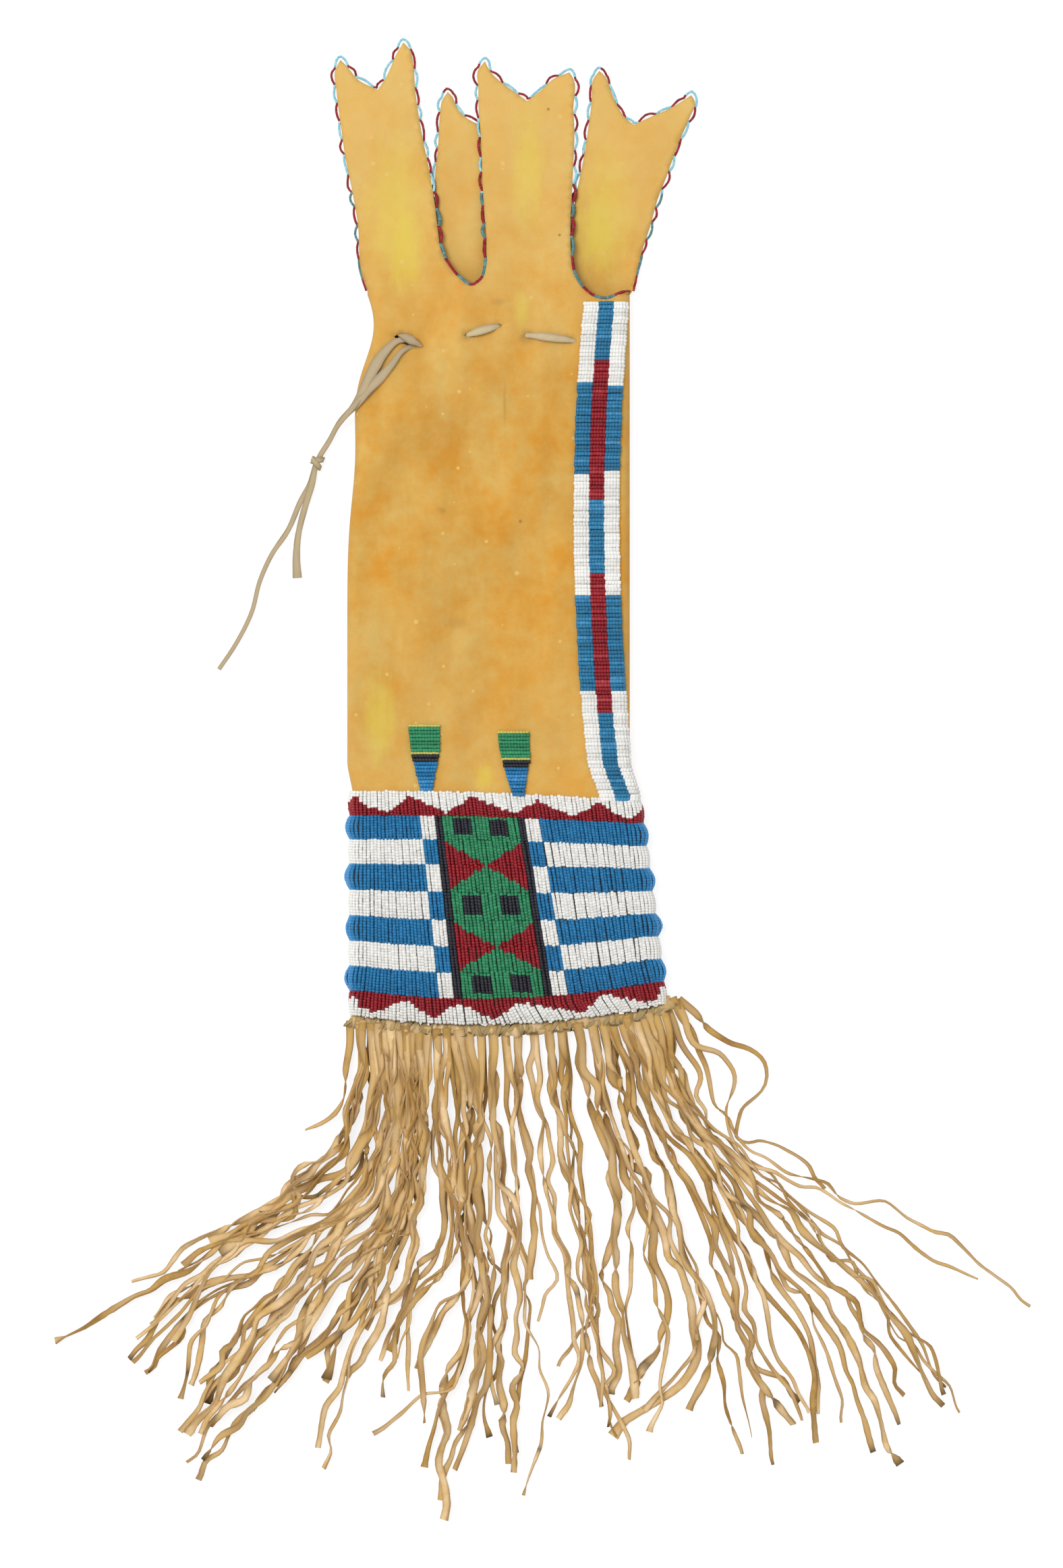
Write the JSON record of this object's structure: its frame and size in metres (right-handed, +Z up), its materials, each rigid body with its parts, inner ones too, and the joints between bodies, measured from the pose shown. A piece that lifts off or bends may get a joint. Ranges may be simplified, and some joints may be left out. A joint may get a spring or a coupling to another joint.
{
  "type": "beaded pipe bag",
  "caption": "Long flattened hide bag with swallow-tailed ears at the mouth, a laced drawstring neck, a beaded side strip, a lane-stitched beaded panel round its foot and a spread hide fringe.",
  "frame": {"origin": "middle of the tube's flat back, on the surface that the bag lies on", "axes": "+X to the right across the tube, +Y from the fringe towards the ears, +Z up out of the beaded front"},
  "size_m": [0.5273, 0.7913, 0.0153],
  "materials": {
    "hide": "matte suede",
    "fringe": "matte suede",
    "lace": "matte suede",
    "white": "glossy opaque",
    "blue": "glossy opaque",
    "red": "glossy opaque",
    "green": "glossy opaque",
    "navy": "glossy opaque",
    "edging": "glossy opaque"
  },
  "bodies": {
    "root": {"bag_hide": "hide", "ear_edging_front": "edging", "ear_edging_back": "edging", "drawstring": "lace", "fringe": "fringe", "border_top_white": "white", "border_top_red": "red", "border_bottom_white": "white", "border_bottom_red": "red", "stripe_1_blue": "blue", "check_1_left_white": "white", "check_1_right_white": "white", "stripe_2_white": "white", "check_2_left_blue": "blue", "check_2_right_blue": "blue", "stripe_3_blue": "blue", "check_3_left_white": "white", "check_3_right_white": "white", "stripe_4_white": "white", "check_4_left_blue": "blue", "check_4_right_blue": "blue", "stripe_5_blue": "blue", "check_5_left_white": "white", "check_5_right_white": "white", "stripe_6_white": "white", "check_6_left_blue": "blue", "check_6_right_blue": "blue", "stripe_7_blue": "blue", "check_7_left_white": "white", "check_7_right_white": "white", "hexagons_green": "green", "rail_left": "navy", "rail_right": "navy", "red_upper_left": "red", "red_upper_right": "red", "red_lower_left": "red", "red_lower_right": "red", "square_1_left": "navy", "square_2_left": "navy", "square_3_left": "navy", "square_1_right": "navy", "square_2_right": "navy", "square_3_right": "navy", "strip_left_white_1": "white", "strip_left_blue_2": "blue", "strip_left_white_3": "white", "strip_left_blue_4": "blue", "strip_left_white_5": "white", "strip_middle_blue_1": "blue", "strip_middle_red_2": "red", "strip_middle_blue_3": "blue", "strip_middle_red_4": "red", "strip_middle_blue_5": "blue", "strip_right_white_1": "white", "strip_right_blue_2": "blue", "strip_right_white_3": "white", "strip_right_blue_4": "blue", "strip_right_white_5": "white", "tab_left": "blue", "tab_right": "blue"}
  },
  "joints": []
}
